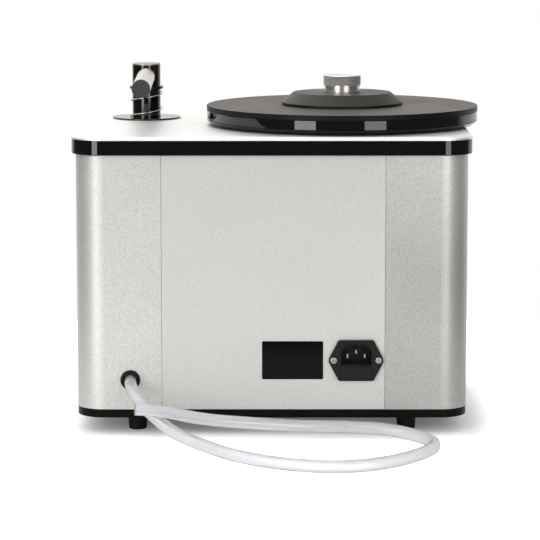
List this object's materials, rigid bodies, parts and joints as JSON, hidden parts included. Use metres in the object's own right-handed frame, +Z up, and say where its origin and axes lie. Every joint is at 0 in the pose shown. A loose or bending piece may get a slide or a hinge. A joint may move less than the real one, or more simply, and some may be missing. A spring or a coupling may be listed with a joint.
{
  "type": "record cleaning machine",
  "caption": "Wet record cleaner: a motor-driven platter with a screw-down clamp, a sprung swivelling vacuum arm, an aluminium case with a waste tank and a drain hose.",
  "frame": {"origin": "on the floor, under the middle of the machine's bounding box without its drain hose", "axes": "+X to the machine's right seen from its front, +Y to the rear with inlet and drain, +Z up"},
  "size_m": [0.335, 0.3823, 0.2898],
  "materials": {
    "black_composite": "semi-gloss black sheet with polished edges",
    "black_rubber": "matt moulded rubber",
    "zinc_steel": "zinc-plated steel",
    "case_aluminium": "satin silver, fine rolled grain",
    "machined_aluminium": "as machined",
    "deck_aluminium": "satin silver, very pale, rounded edge",
    "black_acrylic": "gloss black, flame-polished edge",
    "mat_rubber": "matt grey-brown, fine grain",
    "polished_steel": "ground and polished",
    "cast_aluminium": "die cast",
    "bearing_brass": "sintered bearing metal",
    "anodised_black": "turned and anodised black",
    "polished_aluminium": "turned and polished, knurled upper part",
    "black_moulding": "fine matt moulding",
    "spring_steel": "bright spring wire",
    "arm_aluminium": "satin silver tube",
    "velvet": "short black pile",
    "tank_moulding": "natural white moulding",
    "hose_silicone": "translucent milky white, soft sheen",
    "motor_steel": "plated steel can",
    "inlet_moulding": "dark grey moulding",
    "nickel_brass": "nickel-plated brass",
    "nickel_steel": "nickel-plated steel",
    "fuse_glass": "clear glass with metal ends",
    "plate_film": "satin black film",
    "switch_moulding": "polished black moulding",
    "board_laminate": "green solder resist",
    "nylon_white": "natural nylon",
    "component_black": "black cases"
  },
  "bodies": {
    "chassis": {"base_plate": "black_composite", "feet": "black_rubber", "foot_screws": "zinc_steel", "wrap_case": "case_aluminium", "rear_panel": "case_aluminium", "seam_strips": "case_aluminium", "corner_posts": "machined_aluminium", "base_screws": "zinc_steel", "band_screws": "zinc_steel", "top_band": "black_acrylic", "deck_plate": "deck_aluminium", "drive_gearbox": "cast_aluminium", "shaft_bearing": "bearing_brass", "gearbox_posts": "machined_aluminium", "drive_motor": "zinc_steel", "pillar_flange": "black_acrylic", "pillar_guide": "black_moulding", "guide_seal": "black_rubber", "guide_screws": "zinc_steel", "lift_spring": "spring_steel", "waste_tank": "tank_moulding", "tank_lid": "black_moulding", "tank_strap": "zinc_steel", "strap_screws": "zinc_steel", "suction_coupling": "black_rubber", "vacuum_hose": "black_rubber", "drain_spigot": "black_moulding", "drain_grommet": "black_rubber", "drain_hose": "hose_silicone", "fan_housing": "cast_aluminium", "vacuum_motor": "motor_steel", "motor_mount_ring": "black_rubber", "exhaust_duct": "black_moulding", "inlet_housing": "inlet_moulding", "inlet_pins": "nickel_brass", "inlet_screws": "nickel_steel", "rating_plate": "plate_film", "switch_housings": "black_moulding", "power_board": "board_laminate", "board_standoffs": "nylon_white", "board_parts": "component_black"},
    "turntable": {"platter": "black_acrylic", "platter_mat": "mat_rubber", "platter_hub": "machined_aluminium", "spindle": "polished_steel", "drive_shaft": "polished_steel"},
    "clamp": {"clamp_disc": "anodised_black", "clamp_gasket": "black_rubber"},
    "knob": {"clamp_knob": "polished_aluminium"},
    "lift_washer": {"thrust_washer": "polished_steel"},
    "arm": {"retaining_ring": "spring_steel", "arm_pillar": "black_acrylic", "pillar_cap": "black_acrylic", "arm_tube": "arm_aluminium", "arm_end_cap": "black_moulding", "lip_strips": "velvet"},
    "fuse_holder": {"fuse_drawer": "inlet_moulding", "fuse": "fuse_glass"},
    "direction_switch": {"direction_rocker": "switch_moulding"},
    "vacuum_switch": {"vacuum_rocker": "switch_moulding"}
  },
  "joints": [
    {"name": "platter_spin", "type": "hinge", "parent": "chassis", "child": "turntable", "pos_m": [-0.0537, 0, 0.2466], "axis": [0, 0, 1], "continuous": true},
    {"name": "clamp_lift", "type": "slide", "parent": "turntable", "child": "clamp", "axis": [0, 0, 1], "range_m": [0, 0.005]},
    {"name": "clamp_turn", "type": "hinge", "parent": "clamp", "child": "knob", "pos_m": [-0.0537, 0, 0.2693], "axis": [0, 0, 1], "range_deg": [0, 1800]},
    {"name": "arm_press", "type": "slide", "parent": "chassis", "child": "lift_washer", "axis": [0, 0, 1], "range_m": [-0.0095, 0], "stiffness_N_per_m": 700, "springref_m": 0.006, "deforming": ["lift_spring"]},
    {"name": "arm_swing", "type": "hinge", "parent": "lift_washer", "child": "arm", "pos_m": [0.1136, -0.0593, 0.2679], "axis": [0, 0, 1], "range_deg": [0, 49]},
    {"name": "fuse_drawer_slide", "type": "slide", "parent": "chassis", "child": "fuse_holder", "axis": [0, 1, 0], "range_m": [0, 0.024]},
    {"name": "direction_switch_tilt", "type": "hinge", "parent": "chassis", "child": "direction_switch", "pos_m": [0.0723, -0.1111, 0.185], "axis": [1, 0, 0], "range_deg": [-9, 9]},
    {"name": "vacuum_switch_tilt", "type": "hinge", "parent": "chassis", "child": "vacuum_switch", "pos_m": [0.1103, -0.1111, 0.185], "axis": [1, 0, 0], "range_deg": [-18, 0]}
  ],
  "couplings": [
    {"joint": "clamp_turn", "follows": "clamp_lift", "rad_per_m": 6283.2}
  ]
}
